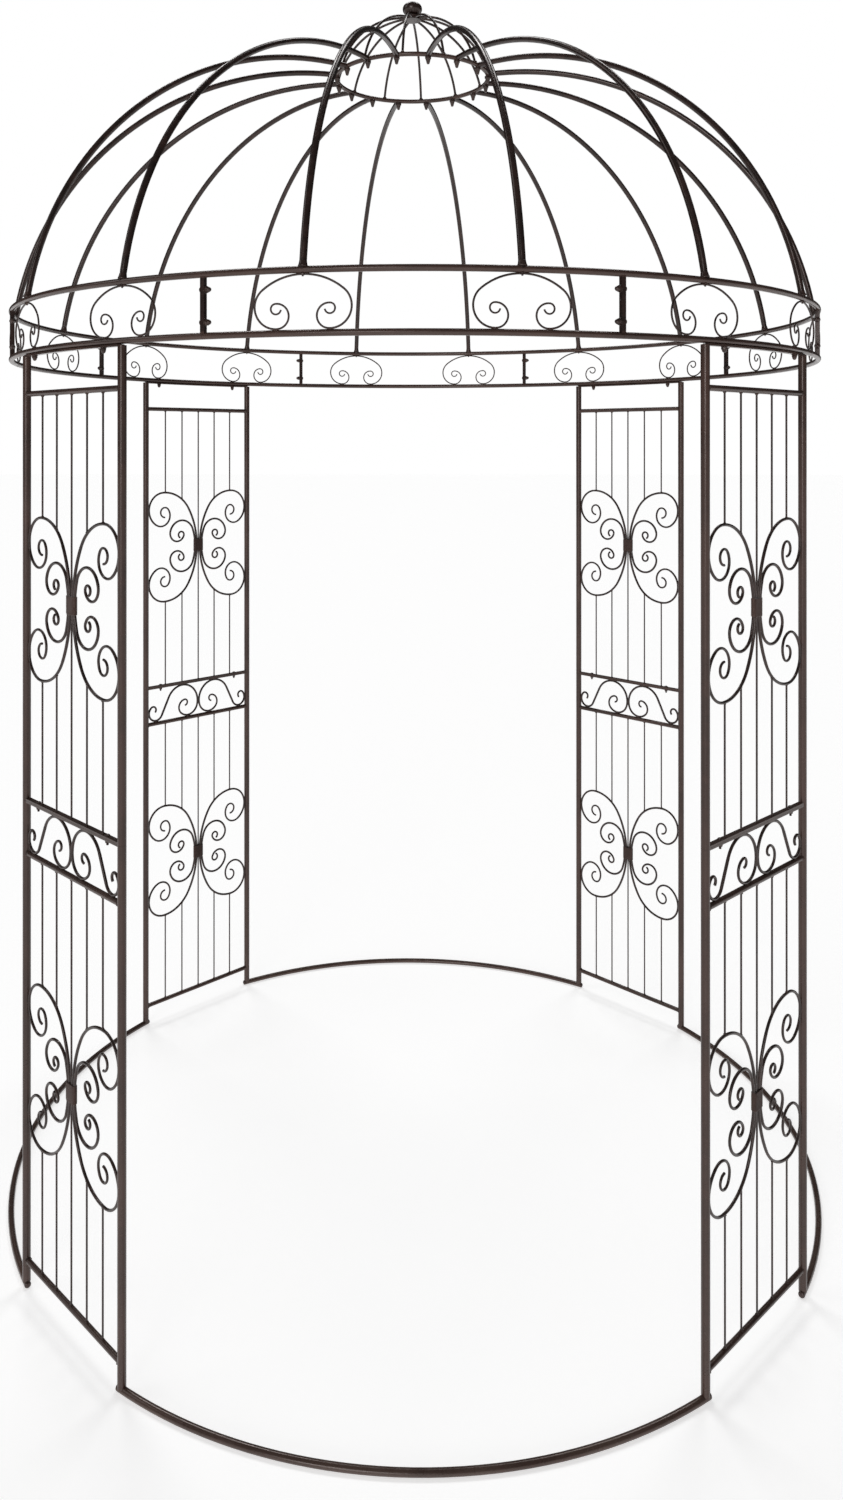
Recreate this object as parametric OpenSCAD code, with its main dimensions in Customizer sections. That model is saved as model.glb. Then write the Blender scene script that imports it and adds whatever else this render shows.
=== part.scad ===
// Round garden pavilion of painted steel tube. Four lattice side panels, each bolted
// together from two sections, stand on ground tubes and carry a scrolled frieze,
// a dome of sixteen ribs and a small caged crown with a knob on top.
// The front doorway faces -Y and the ground is z = 0.

/* [Plan] */
// Diameter of the round plan, over the posts
plan_d = 1980; // [1900:10:2100]
// Diameter of the crown ring, middle to middle of its tube
crown_d = 390; // [340:5:440]

/* [Heights] */
// Height of the seam between the two sections of a side panel
seam_z = 1028; // [960:2:1100]
// Height of the lower hoop's middle
hoop_z = 1975; // [1900:5:2100]
// Height of the frieze, from hoop middle to hoop middle
frieze_h = 111; // [104:1:120]
// Rise of the dome, from the upper hoop's middle to the crown ring's middle
dome_rise = 634; // [600:2:680]
// Rise of the crown's cage above the crown ring
cage_rise = 156; // [130:2:180]

/* [Side panels] */
// Height of the bottom rail's middle
foot_rail_z = 56; // [45:1:90]
// Depth of the scroll band, from the seam down to the middle of its lower rail
band_h = 112; // [108:1:118]
// Drop of the neck rail's middle below the lower hoop's middle
neck_drop = 89; // [70:1:120]
// Height of the wound collar that ties each pair of scrolls
collar_h = 38; // [30:1:44]
// Depth of that collar, from front to back
collar_d = 7.5; // [7:0.5:9.5]

/* [Tubes and rods] */
// Diameter of the posts
post_d = 17; // [15:0.5:20]
// Diameter of the ground tubes
ground_d = 14; // [12:0.5:16]
// Diameter of the hoop tubes
hoop_d = 12.5; // [11:0.5:14]
// Diameter of the dome ribs
rib_d = 13.5; // [12:0.5:15]
// Diameter of the panel rails
rail_d = 12; // [10:0.5:14]
// Thickness of the flat straps that are bolted together
strap_t = 4; // [3:0.5:6]
// Width of those flat straps
strap_w = 12; // [10:0.5:13]
// Width of the frieze's flat uprights
upright_w = 10; // [9:0.5:12]
// Diameter of the upright bars
bar_d = 4; // [4:0.5:6]
// Diameter of the scroll rods in the side panels
scroll_d = 6.5; // [5.5:0.5:7.5]
// Diameter of the scroll rods in the frieze
frieze_rod_d = 4; // [3.5:0.5:5]
// Diameter of the crown ring's tube
crown_tube_d = 11; // [10:0.5:12]
// Diameter of the crown cage's rods
cage_rod_d = 6; // [5:0.5:7]

/* [Dome and crown] */
// Radius of the bend of each dome rib
rib_bend_r = 750; // [720:5:800]
// Diameter of the boss where the cage rods meet
boss_d = 44; // [38:1:52]
// Thickness of that boss
boss_t = 10; // [8:1:14]
// Width of the knob
knob_w = 50; // [42:1:60]
// Height of the knob
knob_h = 32; // [26:1:38]

/* [Fits] */
// Clearance where two separate pieces meet
seat_gap = 0.3; // [0.2:0.1:0.5]
// Depth by which a welded rod bites into its neighbour
weld_bite = 0.5; // [0.4:0.1:0.7]

/* [Hidden] */
steel = "#463a37";
rod_fn = 36;
bend_fn = 96;
ring_fn = 180;
pitch = 22.5;
half_pitch = pitch / 2;
frame_r = (plan_d - post_d) / 2;
crown_r = crown_d / 2;
upper_hoop_z = hoop_z + frieze_h;
crown_z = upper_hoop_z + dome_rise;
ground_z = ground_d / 2;
chord_r = frame_r * cos(half_pitch);
post_x = frame_r * sin(half_pitch);
clear_x = post_x - post_d / 2;
bar_pitch = clear_x / 3;
neck_z = hoop_z - neck_drop;
band_z = seam_z - band_h;
strap_top_z = hoop_z - hoop_d / 2 - seat_gap;
bar_x = [-2 * bar_pitch, -bar_pitch, bar_pitch, 2 * bar_pitch];

// Places of the four panels and of the four doorways
panel_turn = [45, 135, 225, 315];
door_turn = [0, 90, 180, 270];

// A scroll is a chain of bends, each [radius, turn], that leaves a point with a heading.
// Headings and turns are clockwise, and heading 0 is straight up. Towards its tip the rod
// gets thinner with every bend, and each bend is tucked into the end of the one before.
wing_bends = [[224, 30], [96, 62], [51, 146], [31, 157], [14.5, 235]];
inner_wing_bends = [[148, 19], [41, 148], [24.5, 172], [9.5, 265]];
frieze_bends = [[112, 40], [37.5, 146], [21.5, 180], [9, 255]];
s_head_bends = [[54, -103], [35, -120], [22.5, -130], [9, -180]];
s_tail_bends = [[23, -200], [10, -180]];
rod_taper = 0.05;
tuck = 0.5;

function side(h) = [cos(h), -sin(h)];
function hub(p, h, bend) = p + sign(bend[1]) * bend[0] * side(h);
function bend_end(p, h, bend) = hub(p, h, bend) - sign(bend[1]) * bend[0] * side(h + bend[1]);
function chain_end(p, h, bends, n, i = 0) =
    i == n ? [p, h] : chain_end(bend_end(p, h, bends[i]), h + bends[i][1], bends, n, i + 1);
function chain_hub(p, h, bends, n) =
    let (start = chain_end(p, h, bends, n)) hub(start[0], start[1], bends[n]);
function sized(bends, k) = [for (b = bends) [b[0] * k, b[1]]];
function thin(d, n) = d * (1 - rod_taper * n);

// Big wing scroll: tied beside the middle bar, and as wide as the space up to the post
tie_gap = 0.2;
wing_x = bar_d / 2 + scroll_d / 2 + tie_gap;
inner_wing_x = wing_x + scroll_d + tie_gap;
wing_reach = chain_hub([0, 0], 0, wing_bends, 2)[0] + wing_bends[2][0];
wing_k = (clear_x - thin(scroll_d, 2) / 2 + weld_bite - wing_x) / wing_reach;
wing = sized(wing_bends, wing_k);
inner_wing = sized(inner_wing_bends, wing_k);
wing_hub = chain_hub([wing_x, 0], 0, wing, 1);
function wing_top(x) = wing_hub[1] + sqrt(pow(wing[1][0], 2) - pow(abs(x) - wing_hub[0], 2));

// S-scrolls of the band: as tall as the band, each from the middle of the panel to a post
s_top_z = seam_z - strap_t - thin(scroll_d, 1) / 2 + weld_bite;
s_low_z = band_z + rail_d / 2 + thin(scroll_d, 2) / 2 - weld_bite;
s_drop = s_head_bends[1][0] - chain_hub([0, 0], -90, s_head_bends, 1)[1];
s_k = (s_top_z - s_low_z) / s_drop;
s_head = sized(s_head_bends, s_k);
s_tail = sized(s_tail_bends, s_k);
s_head_r = s_head[0][0];
s_tail_r = s_tail[0][0];
s_tail_edge = thin(scroll_d, 1) / 2 - weld_bite + s_tail_r;
head_hub = [thin(scroll_d, 1) / 2 - weld_bite / 2 + s_head_r, s_top_z - s_head_r];
tail_hub = [clear_x - s_tail_edge, band_z + rail_d / 2 + s_tail_edge];
hub_step = tail_hub - head_hub;
s_fall = 90 - atan2(hub_step[1], hub_step[0]) + asin((s_head_r + s_tail_r) / norm(hub_step));
s_run = sqrt(pow(norm(hub_step), 2) - pow(s_head_r + s_tail_r, 2));
s_high = head_hub - s_head_r * side(s_fall);
s_low = tail_hub + s_tail_r * side(s_fall);
s_crest = concat([[s_head_r, s_head[0][1] + 90 - s_fall]], [for (i = [1 : 3]) s_head[i]]);

// Frieze scrolls: as tall as the space between the hoops
frieze_drop = frieze_bends[1][0] - chain_hub([0, 0], 90, frieze_bends, 1)[1];
frieze_top_z = upper_hoop_z - hoop_d / 2 - frieze_rod_d / 2 + weld_bite;
frieze_low_z = hoop_z + hoop_d / 2 + thin(frieze_rod_d, 1) / 2 - weld_bite;
frieze_scroll = sized(frieze_bends, (frieze_top_z - frieze_low_z) / frieze_drop);

// Rib bend: through the upper hoop's middle and the crown ring's middle
rib_foot = [frame_r, upper_hoop_z];
rib_head = [crown_r, crown_z];
rib_chord = norm(rib_head - rib_foot);
rib_in = [rib_foot[1] - rib_head[1], rib_head[0] - rib_foot[0]] / rib_chord;
rib_hub = (rib_foot + rib_head) / 2 + sqrt(pow(rib_bend_r, 2) - pow(rib_chord / 2, 2)) * rib_in;
rib_low_a = atan2(rib_foot[1] - rib_hub[1], rib_foot[0] - rib_hub[0]);
rib_tip_back = 3;
rib_high_a = atan2(rib_head[1] - rib_hub[1], rib_head[0] - rib_hub[0]) - asin(rib_tip_back / rib_bend_r);

// Crown cage: rods on a sphere through the crown ring and the boss
cage_rods = 12;
cage_turn = 23;
cage_r = (pow(crown_r, 2) + pow(cage_rise, 2)) / (2 * cage_rise);
cage_hub_z = crown_z + cage_rise - cage_r;
cage_low_a = acos(crown_r / cage_r);
cage_high_a = acos(boss_d / 3 / cage_r);
boss_z = crown_z + cage_rise - boss_t / 2;
knob_z = boss_z + boss_t + seat_gap;
knob_neck_d = 18;
knob_neck_h = 5;
knob_low = 3;

// Turns a shape made at the front round to its place, counted from the front to the right
module place(turn) {
    rotate([0, 0, turn])
        children();
}

// Tube bent round the middle of the plan, centred on the front
module ring_tube(r, z, d, sweep) {
    rotate([0, 0, -90 - sweep / 2])
        translate([0, 0, z])
            rotate_extrude(angle = sweep, $fn = ring_fn)
                translate([r, 0])
                    circle(d = d, $fn = rod_fn);
}

// Closed ring of tube round the middle of the plan
module full_ring(r, z, d) {
    translate([0, 0, z])
        rotate_extrude($fn = ring_fn)
            translate([r, 0])
                circle(d = d, $fn = rod_fn);
}

// Straight level rod along X
module level_rod(x0, x1, z, d) {
    translate([x0, 0, z])
        rotate([0, 90, 0])
            cylinder(d = d, h = x1 - x0, $fn = rod_fn);
}

// Straight upright rod
module upright_rod(x, z0, z1, d) {
    translate([x, 0, z0])
        cylinder(d = d, h = z1 - z0, $fn = rod_fn);
}

// One bend of a rod in the XZ plane, started a little early by the angle lead
module rod_bend(p, h, bend, d, lead) {
    c = hub(p, h, bend);
    from = bend[1] > 0 ? 180 - h - bend[1] : -h - lead;
    translate([c[0], 0, c[1]])
        rotate([90, -from, 0])
            rotate_extrude(angle = abs(bend[1]) + lead, $fn = bend_fn)
                translate([bend[0], 0])
                    circle(d = d, $fn = rod_fn);
}

// The bends of a scroll from number first on, each thinner than the one before
module scroll(p, h, bends, d, first) {
    for (i = [first : len(bends) - 1]) {
        start = chain_end(p, h, bends, i);
        rod_bend(start[0], start[1], bends[i], thin(d, i), asin(tuck / bends[i][0]));
    }
}

// A scroll and its mirror image, made of one rod that starts with their shared bend
module twin_scroll(p, h, bends, d, mirror_axis) {
    rod_bend(p, h, bends[0], d, bends[0][1]);
    scroll(p, h, bends, d, 1);
    mirror(mirror_axis)
        scroll(p, h, bends, d, 1);
}

// Both wings and the collar that ties them, about the point they are tied at
module butterfly() {
    for (across = [0, 1])
        mirror([across, 0, 0]) {
            twin_scroll([wing_x, 0], 0, wing, scroll_d, [0, 0, 1]);
            twin_scroll([inner_wing_x, 0], 0, inner_wing, scroll_d, [0, 0, 1]);
        }
    collar();
}

// Wound collar, a flat sleeve with round sides
module collar() {
    translate([0, 0, -collar_h / 2])
        linear_extrude(collar_h) {
            square([2 * inner_wing_x, collar_d], center = true);
            for (x = [-inner_wing_x, inner_wing_x])
                translate([x, 0])
                    circle(d = collar_d, $fn = rod_fn);
        }
}

// Five bars with a butterfly in the middle, between two rails
module barred_field(z0, z1) {
    middle_z = (z0 + z1) / 2;
    translate([0, 0, middle_z])
        butterfly();
    upright_rod(0, z0, z1, bar_d);
    for (x = bar_x) {
        upright_rod(x, middle_z + wing_top(x), z1, bar_d);
        upright_rod(x, z0, middle_z - wing_top(x), bar_d);
    }
}

// Flat strap from post to post
module flat_strap(z) {
    translate([-post_x, -strap_w / 2, z])
        cube([2 * post_x, strap_w, strap_t]);
}

// Strap bent to the hoop above it
module hoop_strap() {
    translate([0, chord_r, strap_top_z - strap_t])
        rotate([0, 0, -90 - half_pitch])
            rotate_extrude(angle = pitch, $fn = ring_fn)
                translate([frame_r - strap_w / 2, 0])
                    square([strap_w, strap_t]);
}

// S-scroll: a slanting run of rod with a large curl at its upper end and a small one below
module s_scroll() {
    translate([s_high[0], 0, s_high[1]])
        rotate([0, s_fall, 0])
            cylinder(d = scroll_d, h = s_run, $fn = rod_fn);
    scroll(s_high, s_fall - 180, s_crest, thin(scroll_d, 1), 0);
    scroll(s_low, s_fall, s_tail, thin(scroll_d, 1), 0);
}

// Post of a lower section, its foot notched to sit over the ground tube
module footed_post(x) {
    difference() {
        upright_rod(x, ground_z + ground_d / 4, seam_z, post_d);
        translate([0, chord_r, 0])
            full_ring(frame_r, ground_z, ground_d + 2 * seat_gap);
    }
}

// Lower section of a side panel: posts on the ground tubes, bars, S-scroll band
module lower_panel() {
    color(steel)
        translate([0, -chord_r, 0]) {
            for (x = [-post_x, post_x])
                footed_post(x);
            level_rod(-post_x, post_x, foot_rail_z, rail_d);
            level_rod(-post_x, post_x, band_z, rail_d);
            flat_strap(seam_z - strap_t);
            barred_field(foot_rail_z, band_z);
            for (across = [0, 1])
                mirror([across, 0, 0])
                    s_scroll();
        }
}

// Upper section of a side panel: posts that end in the strap under the hoop, bars, neck rail
module upper_panel() {
    foot_z = seam_z + seat_gap;
    color(steel)
        translate([0, -chord_r, 0]) {
            for (x = [-post_x, post_x])
                upright_rod(x, foot_z, strap_top_z - strap_t / 2, post_d);
            flat_strap(foot_z);
            level_rod(-post_x, post_x, neck_z, rail_d);
            hoop_strap();
            barred_field(foot_z + strap_t / 2, neck_z);
        }
}

// Ground tube across a doorway, out to the far side of a post at each end
module ground_tube() {
    past_post = asin(post_d / 2 / frame_r);
    color(steel)
        ring_tube(frame_r, ground_z, ground_d, 2 * (45 - half_pitch + past_post));
}

// One eighth of the frieze: two hoop tubes, an upright at each end and two scrolls
module frieze() {
    gap_turn = asin(seat_gap / 2 / frame_r);
    color(steel) {
        for (z = [hoop_z, upper_hoop_z])
            ring_tube(frame_r, z, hoop_d, 2 * (pitch - gap_turn));
        for (across = [0, 1])
            mirror([across, 0, 0]) {
                place(pitch)
                    translate([-strap_t - seat_gap / 2, -frame_r - upright_w / 2, hoop_z])
                        cube([strap_t, upright_w, frieze_h]);
                place(half_pitch)
                    translate([0, -frame_r, 0])
                        frieze_motif();
            }
    }
}

// Scroll with both ends curled in, on the lower hoop, its brow under the upper hoop
module frieze_motif() {
    twin_scroll([0, frieze_top_z], 90, frieze_scroll, frieze_rod_d, [1, 0, 0]);
}

// Dome rib: coped onto the upper hoop at its foot and onto the crown ring at its head
module rib() {
    color(steel)
        rotate([0, 0, -90])
            difference() {
                translate([rib_hub[0], 0, rib_hub[1]])
                    rotate([90, -rib_low_a, 0])
                        rotate_extrude(angle = rib_high_a - rib_low_a, $fn = ring_fn)
                            translate([rib_bend_r, 0])
                                circle(d = rib_d, $fn = rod_fn);
                full_ring(frame_r, upper_hoop_z, hoop_d + 2 * seat_gap);
                full_ring(crown_r, crown_z, crown_tube_d + 2 * seat_gap);
            }
}

// Crown: ring, cage of rods and the boss that they meet in
module crown() {
    color(steel) {
        full_ring(crown_r, crown_z, crown_tube_d);
        for (i = [0 : cage_rods - 1])
            rotate([0, 0, cage_turn - 90 + i * 360 / cage_rods])
                translate([0, 0, cage_hub_z])
                    rotate([90, -cage_low_a, 0])
                        rotate_extrude(angle = cage_high_a - cage_low_a, $fn = ring_fn)
                            translate([cage_r, 0])
                                circle(d = cage_rod_d, $fn = rod_fn);
        translate([0, 0, boss_z])
            cylinder(d = boss_d, h = boss_t, $fn = bend_fn);
    }
}

// Knob on a short neck
module knob() {
    color(steel)
        translate([0, 0, knob_z])
            rotate_extrude($fn = bend_fn) {
                square([knob_neck_d / 2, knob_neck_h + knob_h / 2]);
                translate([0, knob_low])
                    square([(knob_w - knob_h) / 2, knob_h]);
                translate([(knob_w - knob_h) / 2, knob_low + knob_h / 2])
                    intersection() {
                        circle(d = knob_h, $fn = bend_fn);
                        translate([0, -knob_h])
                            square(2 * knob_h);
                    }
            }
}

place(door_turn[0]) ground_tube();  // ground_tube_front
place(door_turn[1]) ground_tube();  // ground_tube_right
place(door_turn[2]) ground_tube();  // ground_tube_back
place(door_turn[3]) ground_tube();  // ground_tube_left
place(panel_turn[0]) lower_panel();  // lower_panel_front_right
place(panel_turn[1]) lower_panel();  // lower_panel_back_right
place(panel_turn[2]) lower_panel();  // lower_panel_back_left
place(panel_turn[3]) lower_panel();  // lower_panel_front_left
place(panel_turn[0]) upper_panel();  // upper_panel_front_right
place(panel_turn[1]) upper_panel();  // upper_panel_back_right
place(panel_turn[2]) upper_panel();  // upper_panel_back_left
place(panel_turn[3]) upper_panel();  // upper_panel_front_left
place(0) frieze();  // frieze_front
place(2 * pitch) frieze();  // frieze_front_right
place(4 * pitch) frieze();  // frieze_right
place(6 * pitch) frieze();  // frieze_back_right
place(8 * pitch) frieze();  // frieze_back
place(10 * pitch) frieze();  // frieze_back_left
place(12 * pitch) frieze();  // frieze_left
place(14 * pitch) frieze();  // frieze_front_left
place(0.5 * pitch) rib();  // rib_01
place(1.5 * pitch) rib();  // rib_02
place(2.5 * pitch) rib();  // rib_03
place(3.5 * pitch) rib();  // rib_04
place(4.5 * pitch) rib();  // rib_05
place(5.5 * pitch) rib();  // rib_06
place(6.5 * pitch) rib();  // rib_07
place(7.5 * pitch) rib();  // rib_08
place(8.5 * pitch) rib();  // rib_09
place(9.5 * pitch) rib();  // rib_10
place(10.5 * pitch) rib();  // rib_11
place(11.5 * pitch) rib();  // rib_12
place(12.5 * pitch) rib();  // rib_13
place(13.5 * pitch) rib();  // rib_14
place(14.5 * pitch) rib();  // rib_15
place(15.5 * pitch) rib();  // rib_16
crown();
knob();
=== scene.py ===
# %% [markdown]
# # A round garden pavilion of powder-coated steel
#
# The pavilion is welded from steel tube and rod: four lattice panels, a frieze of scrollwork on top of them and a dome
# of bent ribs. All of that comes from the construction model and stays as it is. This lesson coats it and adds what is
# too small for the construction model: bolts and nuts, the wire wound round each collar, weld beads and the plugs in
# the tube ends. Then it sets up a pale studio and a camera.
#
# Lengths are written in millimetres and turned into metres by `MM`. The front doorway faces -Y.

# %% Load the construction model
import math
import random

import bmesh
import bpy
from mathutils import Matrix, Vector


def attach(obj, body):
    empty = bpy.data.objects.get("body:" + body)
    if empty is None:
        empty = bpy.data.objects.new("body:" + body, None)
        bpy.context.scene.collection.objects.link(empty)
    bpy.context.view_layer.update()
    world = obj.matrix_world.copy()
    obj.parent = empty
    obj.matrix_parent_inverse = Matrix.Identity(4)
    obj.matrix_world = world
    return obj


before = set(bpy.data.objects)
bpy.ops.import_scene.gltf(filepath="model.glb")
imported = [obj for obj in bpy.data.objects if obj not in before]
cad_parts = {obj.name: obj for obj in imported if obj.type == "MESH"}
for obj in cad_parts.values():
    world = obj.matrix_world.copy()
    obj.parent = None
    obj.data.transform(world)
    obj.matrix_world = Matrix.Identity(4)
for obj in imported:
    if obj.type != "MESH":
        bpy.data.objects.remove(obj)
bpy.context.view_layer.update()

# %% [markdown]
# ## Where things are on the pavilion
#
# Every added piece sits on a tube, a bar or a strap, so its place follows from the measures of the construction model.
# The places could be picked off the meshes, but a few radii and heights are easier to read and to check. The plan is
# round, so a point is worked out once at the front and turned to where it belongs.

# %% Radii and heights
MM = 0.001
FRAME_R = 981.5 * MM
POST_R = 8.5 * MM
RAIL_R = 6 * MM
STRAP = 4 * MM
SEAT = 0.3 * MM
FOOT_RAIL_Z = 56 * MM
BAND_Z = 916 * MM
SEAM_Z = 1028 * MM
NECK_Z = 1886 * MM
HOOP_Z = 1975 * MM
HOOP_R = 6.25 * MM
FRIEZE_H = 111 * MM
UPPER_HOOP_Z = HOOP_Z + FRIEZE_H
CROWN_Z = UPPER_HOOP_Z + 634 * MM
CROWN_R = 195 * MM
CROWN_TUBE_R = 5.5 * MM
print("upper hoop at", round(UPPER_HOOP_Z, 4), "crown ring at", round(CROWN_Z, 4))

# %% [markdown]
# Each panel stands on a chord of the ring and takes up one of its sixteen parts. Its bars stand in two fields, one in
# each section, and the wing scrolls are tied to the middle bar halfway up each field.

# %% The plan of the panels and ribs
PART_TURN = 360 / 16
HALF_PART = PART_TURN / 2
PANEL_TURNS = [45, 135, 225, 315]
RIB_TURNS = [HALF_PART + PART_TURN * k for k in range(16)]
JOINT_TURNS = [PART_TURN + 2 * PART_TURN * k for k in range(8)]
CHORD_R = FRAME_R * math.cos(math.radians(HALF_PART))
POST_X = FRAME_R * math.sin(math.radians(HALF_PART))
CLEAR_X = POST_X - POST_R
BAR_XS = [k * CLEAR_X / 3 for k in (-2, -1, 0, 1, 2)]
FIELDS = [(FOOT_RAIL_Z, BAND_Z), (SEAM_Z + SEAT + STRAP / 2, NECK_Z)]
FIELD_MIDDLES = [(low + high) / 2 for low, high in FIELDS]


def turned(degrees):
    """Turn about the middle of the plan, counted from the front towards the right."""
    return Matrix.Rotation(math.radians(degrees), 4, "Z")


def on_panel(degrees, x, z, y=0.0):
    """Point in the plane of the side panel at that turn: x from its middle line, y outwards."""
    return turned(degrees) @ Vector((x, -CHORD_R - y, z))


def on_ring(degrees, r, z):
    """Point on a ring round the middle of the plan."""
    return turned(degrees) @ Vector((0, -r, z))


print("fields of bars are centred at", [round(z, 4) for z in FIELD_MIDDLES])

# %% [markdown]
# ## Colours and nodes
#
# Materials and geometry-nodes groups are both graphs of nodes. Wiring them by hand in the editor is quicker for trying
# things out, but a script gives the same graph on every run. One function is enough for it: it adds a node, changes its
# settings, fills its inputs with values or links and hands back an output. Colours are written as sRGB hex, as on a
# paint chart, and turned into the linear values that shaders work with.

# %% A colour function and a node function
def linear(text):
    """sRGB hex text as a linear RGBA colour."""
    parts = [int(text[k:k + 2], 16) / 255 for k in (1, 3, 5)]
    return tuple(c / 12.92 if c <= 0.04045 else ((c + 0.055) / 1.055) ** 2.4 for c in parts) + (1.0,)


def add(tree, kind, inputs=(), out=0, **settings):
    """Adds a node to the tree. inputs pairs a socket's name or number with a value or with another node's output.
    Gives the output with the name or number out, or all outputs where out is None."""
    node = tree.nodes.new(kind)
    for key, value in settings.items():
        setattr(node, key, value)
    for key, value in inputs:
        if isinstance(value, bpy.types.NodeSocket):
            tree.links.new(value, node.inputs[key])
        else:
            node.inputs[key].default_value = value
    return node.outputs if out is None else node.outputs[out]


print("a mid brown in linear light:", [round(c, 3) for c in linear("#43312b")])

# %% [markdown]
# ## Tubes and rods
#
# The thin rods are drawn in a darker tone than the tubes. A side panel is one piece of both, so its coat has to tell
# them apart. Painting a mask by hand would do it, but the tubes of this pavilion are easy to find by place: a tube is
# near the axis of a post, or at the height of a rail, a strap or a hoop. Folding the plan along its diagonals brings
# all eight posts onto one axis, so one distance is enough for them.

# %% A mask for posts, rails, straps and hoops
POST_TURN = math.radians(3 * HALF_PART)
POST_AXIS = (FRAME_R * math.cos(POST_TURN), FRAME_R * math.sin(POST_TURN), 0)
HOOP_WITH_STRAP = (HOOP_Z - 2 * MM, HOOP_R + 3 * MM)
TUBE_LEVELS = [(FOOT_RAIL_Z, RAIL_R), (BAND_Z, RAIL_R), (SEAM_Z, STRAP + SEAT), (NECK_Z, RAIL_R), HOOP_WITH_STRAP,
               (UPPER_HOOP_Z, HOOP_R), (CROWN_Z, CROWN_TUBE_R)]
SKIN = 0.5 * MM


def tube_mask(tree, where):
    """1 on posts, rails, straps and hoops, 0 on the bars and scrolls between them."""
    size = add(tree, "ShaderNodeVectorMath", [(0, where)], operation="ABSOLUTE")
    x, y, z = add(tree, "ShaderNodeSeparateXYZ", [(0, size)], out=None)
    large = add(tree, "ShaderNodeMath", [(0, x), (1, y)], operation="MAXIMUM")
    small = add(tree, "ShaderNodeMath", [(0, x), (1, y)], operation="MINIMUM")
    folded = add(tree, "ShaderNodeCombineXYZ", [(0, large), (1, small)])
    away = add(tree, "ShaderNodeVectorMath", [(0, folded), (1, POST_AXIS)], out="Value", operation="DISTANCE")
    found = add(tree, "ShaderNodeMath", [(0, away), (1, POST_R + SKIN)], operation="LESS_THAN")
    for level, half in TUBE_LEVELS:
        here = add(tree, "ShaderNodeMath", [(0, z), (1, level), (2, half + SKIN)], operation="COMPARE")
        found = add(tree, "ShaderNodeMath", [(0, found), (1, here)], operation="MAXIMUM")
    return found


print("post axis, folded:", [round(v, 4) for v in POST_AXIS], "tube levels:", len(TUBE_LEVELS))

# %% [markdown]
# ## The coat
#
# The steel is powder-coated: a brown resin is sprayed on as powder and melted in an oven. It is a dielectric, so
# metallic stays 0 and the IOR stays at 1.5, which is typical for a resin. The eye sees a smooth satin skin, uneven at
# three scales: a slow drift of tone along a tube, patches of about two centimetres where the coat is thin and redder,
# and an orange-peel skin. Real orange peel is finer than a millimetre and would not show, so it is drawn 2 to 3 mm
# coarse.
# Faces that look up carry a thin film of dust. A painted image could hold all this, but noise in real millimetres needs
# no unwrapping and suits every piece alike.

# %% The uneven layers of the coat
DRIFT_MM, PATCH_MM, SHEEN_MM, SPECK_MM = 160, 22, 35, 9
PATCH_MOST = 0.4
SHEEN_BELOW, SHEEN_ABOVE = 0.07, 0.09
PER_METRE = 1000.0


def coat_layers(tree, where, gloss, grain_mm):
    """Outputs of the coat's uneven layers, by name."""
    # Each layer: size of its lumps in mm, the noise's detail and roughness, the range of it that is used, its result.
    layers = {"drift": (DRIFT_MM, 2.0, 0.55, 0.35, 0.65, 0.0, 1.0),
              "patch": (PATCH_MM, 4.0, 0.65, 0.45, 0.72, 0.0, PATCH_MOST),
              "sheen": (SHEEN_MM, 4.0, 0.55, 0.3, 0.7, gloss - SHEEN_BELOW, gloss + SHEEN_ABOVE),
              "specks": (SPECK_MM, 5.0, 0.7, 0.0, 1.0, 0.0, 1.0),
              "grain": (grain_mm, 1.0, 0.55, 0.0, 1.0, 0.0, 1.0)}
    outputs = {}
    for layer, (lump_mm, detail, rough, low, high, to_low, to_high) in layers.items():
        lumps = add(tree, "ShaderNodeTexNoise", [("Vector", where), ("Scale", PER_METRE / lump_mm),
                                                 ("Detail", detail), ("Roughness", rough)], out="Fac")
        outputs[layer] = add(tree, "ShaderNodeMapRange", [
            ("Value", lumps), ("From Min", low), ("From Max", high), ("To Min", to_low), ("To Max", to_high)])
    return outputs


print("lumps in mm: drift", DRIFT_MM, "patch", PATCH_MM, "sheen", SHEEN_MM, "specks", SPECK_MM)

# %% [markdown]
# The layers are then put together as on the real tube: the tone of the resin, the thin patches in it, the dust on top
# and the skin that gleams. One shader with a plain brown would look like plastic, so the sheen varies too, and its
# tint is slightly warm, because the brown of the resin colours what it mirrors.

# %% The powder coat as a material
THIN_COAT = linear("#4a332d")
DUST = linear("#8a7a72")
WARM_SHEEN = linear("#fff0eb")
STEEPEST_DUST = 0.3
PEEL_STRENGTH = 0.3


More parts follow.
